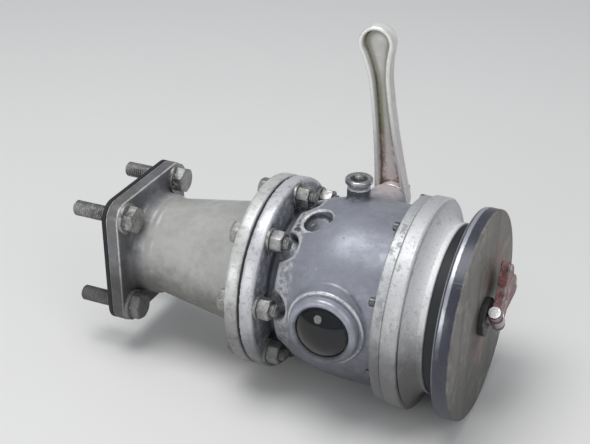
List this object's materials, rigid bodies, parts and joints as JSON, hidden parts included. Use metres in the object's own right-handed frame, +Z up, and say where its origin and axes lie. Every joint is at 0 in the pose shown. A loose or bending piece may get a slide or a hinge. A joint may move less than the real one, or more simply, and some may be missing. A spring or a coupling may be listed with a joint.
{
  "type": "tanker discharge valve",
  "caption": "Discharge valve of a road tanker: flanged spool, cast body with sight glass and lever-opened poppet, coupler nose and rubber-sealed cover.",
  "frame": {"origin": "centre of the four tank bolts on the face that meets the tank flange", "axes": "+X outboard along the flow, +Y along the vehicle away from the sight glass, +Z up"},
  "size_m": [0.3217, 0.167, 0.2517],
  "materials": {
    "gasket": "matt black sheet gasket",
    "spool_paint": "warm light grey gloss paint, worn on the flange rims",
    "plated_steel": "dull zinc-plated steel",
    "dark_casting": "dark blue-grey cast surface, satin",
    "bare_aluminium": "machined bare aluminium, brushed round",
    "lever_casting": "cast, olive-cream with worn rims",
    "sight_glass": "dark glossy glass",
    "black_rubber": "black rubber",
    "cover_paint": "olive-grey, stained",
    "hub_casting": "dark cast",
    "red_paint": "chipped red paint",
    "bright_steel": "bright steel"
  },
  "bodies": {
    "valve": {"tank_gasket": "gasket", "spool": "spool_paint", "tank_bolts": "plated_steel", "tank_washers": "plated_steel", "flange_gasket": "gasket", "flange_bolts": "plated_steel", "flange_washers": "plated_steel", "flange_nuts": "plated_steel", "valve_body": "dark_casting", "clamp_ring": "bare_aluminium", "ring_screws": "plated_steel", "nose_adaptor": "bare_aluminium", "sight_bezel": "dark_casting", "sight_seal": "black_rubber", "sight_glass": "sight_glass", "top_plug": "plated_steel", "shaft_gland": "plated_steel", "stem_guide": "bare_aluminium"},
    "lever": {"lever_shaft": "bright_steel", "crank": "plated_steel", "lever": "lever_casting", "lever_washer": "plated_steel", "lever_nut": "plated_steel"},
    "poppet": {"poppet": "bare_aluminium", "poppet_seal": "black_rubber", "stem": "bright_steel"},
    "cover": {"cover": "cover_paint", "cover_rubber": "black_rubber", "cover_plate": "bare_aluminium", "draw_bolt": "bright_steel", "cover_hub": "hub_casting", "grip_pin": "bright_steel"},
    "grip": {"grip": "red_paint"}
  },
  "joints": [
    {"name": "lever_turn", "type": "hinge", "parent": "valve", "child": "lever", "pos_m": [0.183, 0, 0.042], "axis": [0, 1, 0], "range_deg": [0, 45]},
    {"name": "poppet_slide", "type": "slide", "parent": "valve", "child": "poppet", "axis": [-1, 0, 0], "range_m": [0, 0.0322]},
    {"name": "cover_pull", "type": "slide", "parent": "valve", "child": "cover", "axis": [1, 0, 0], "range_m": [0, 0.06]},
    {"name": "grip_turn", "type": "hinge", "parent": "cover", "child": "grip", "pos_m": [0.2862, 0, 0], "axis": [0, 0.6157, -0.788], "range_deg": [0, 100]}
  ],
  "couplings": [
    {"joint": "poppet_slide", "follows": "lever_turn", "m_per_rad": 0.040929}
  ]
}
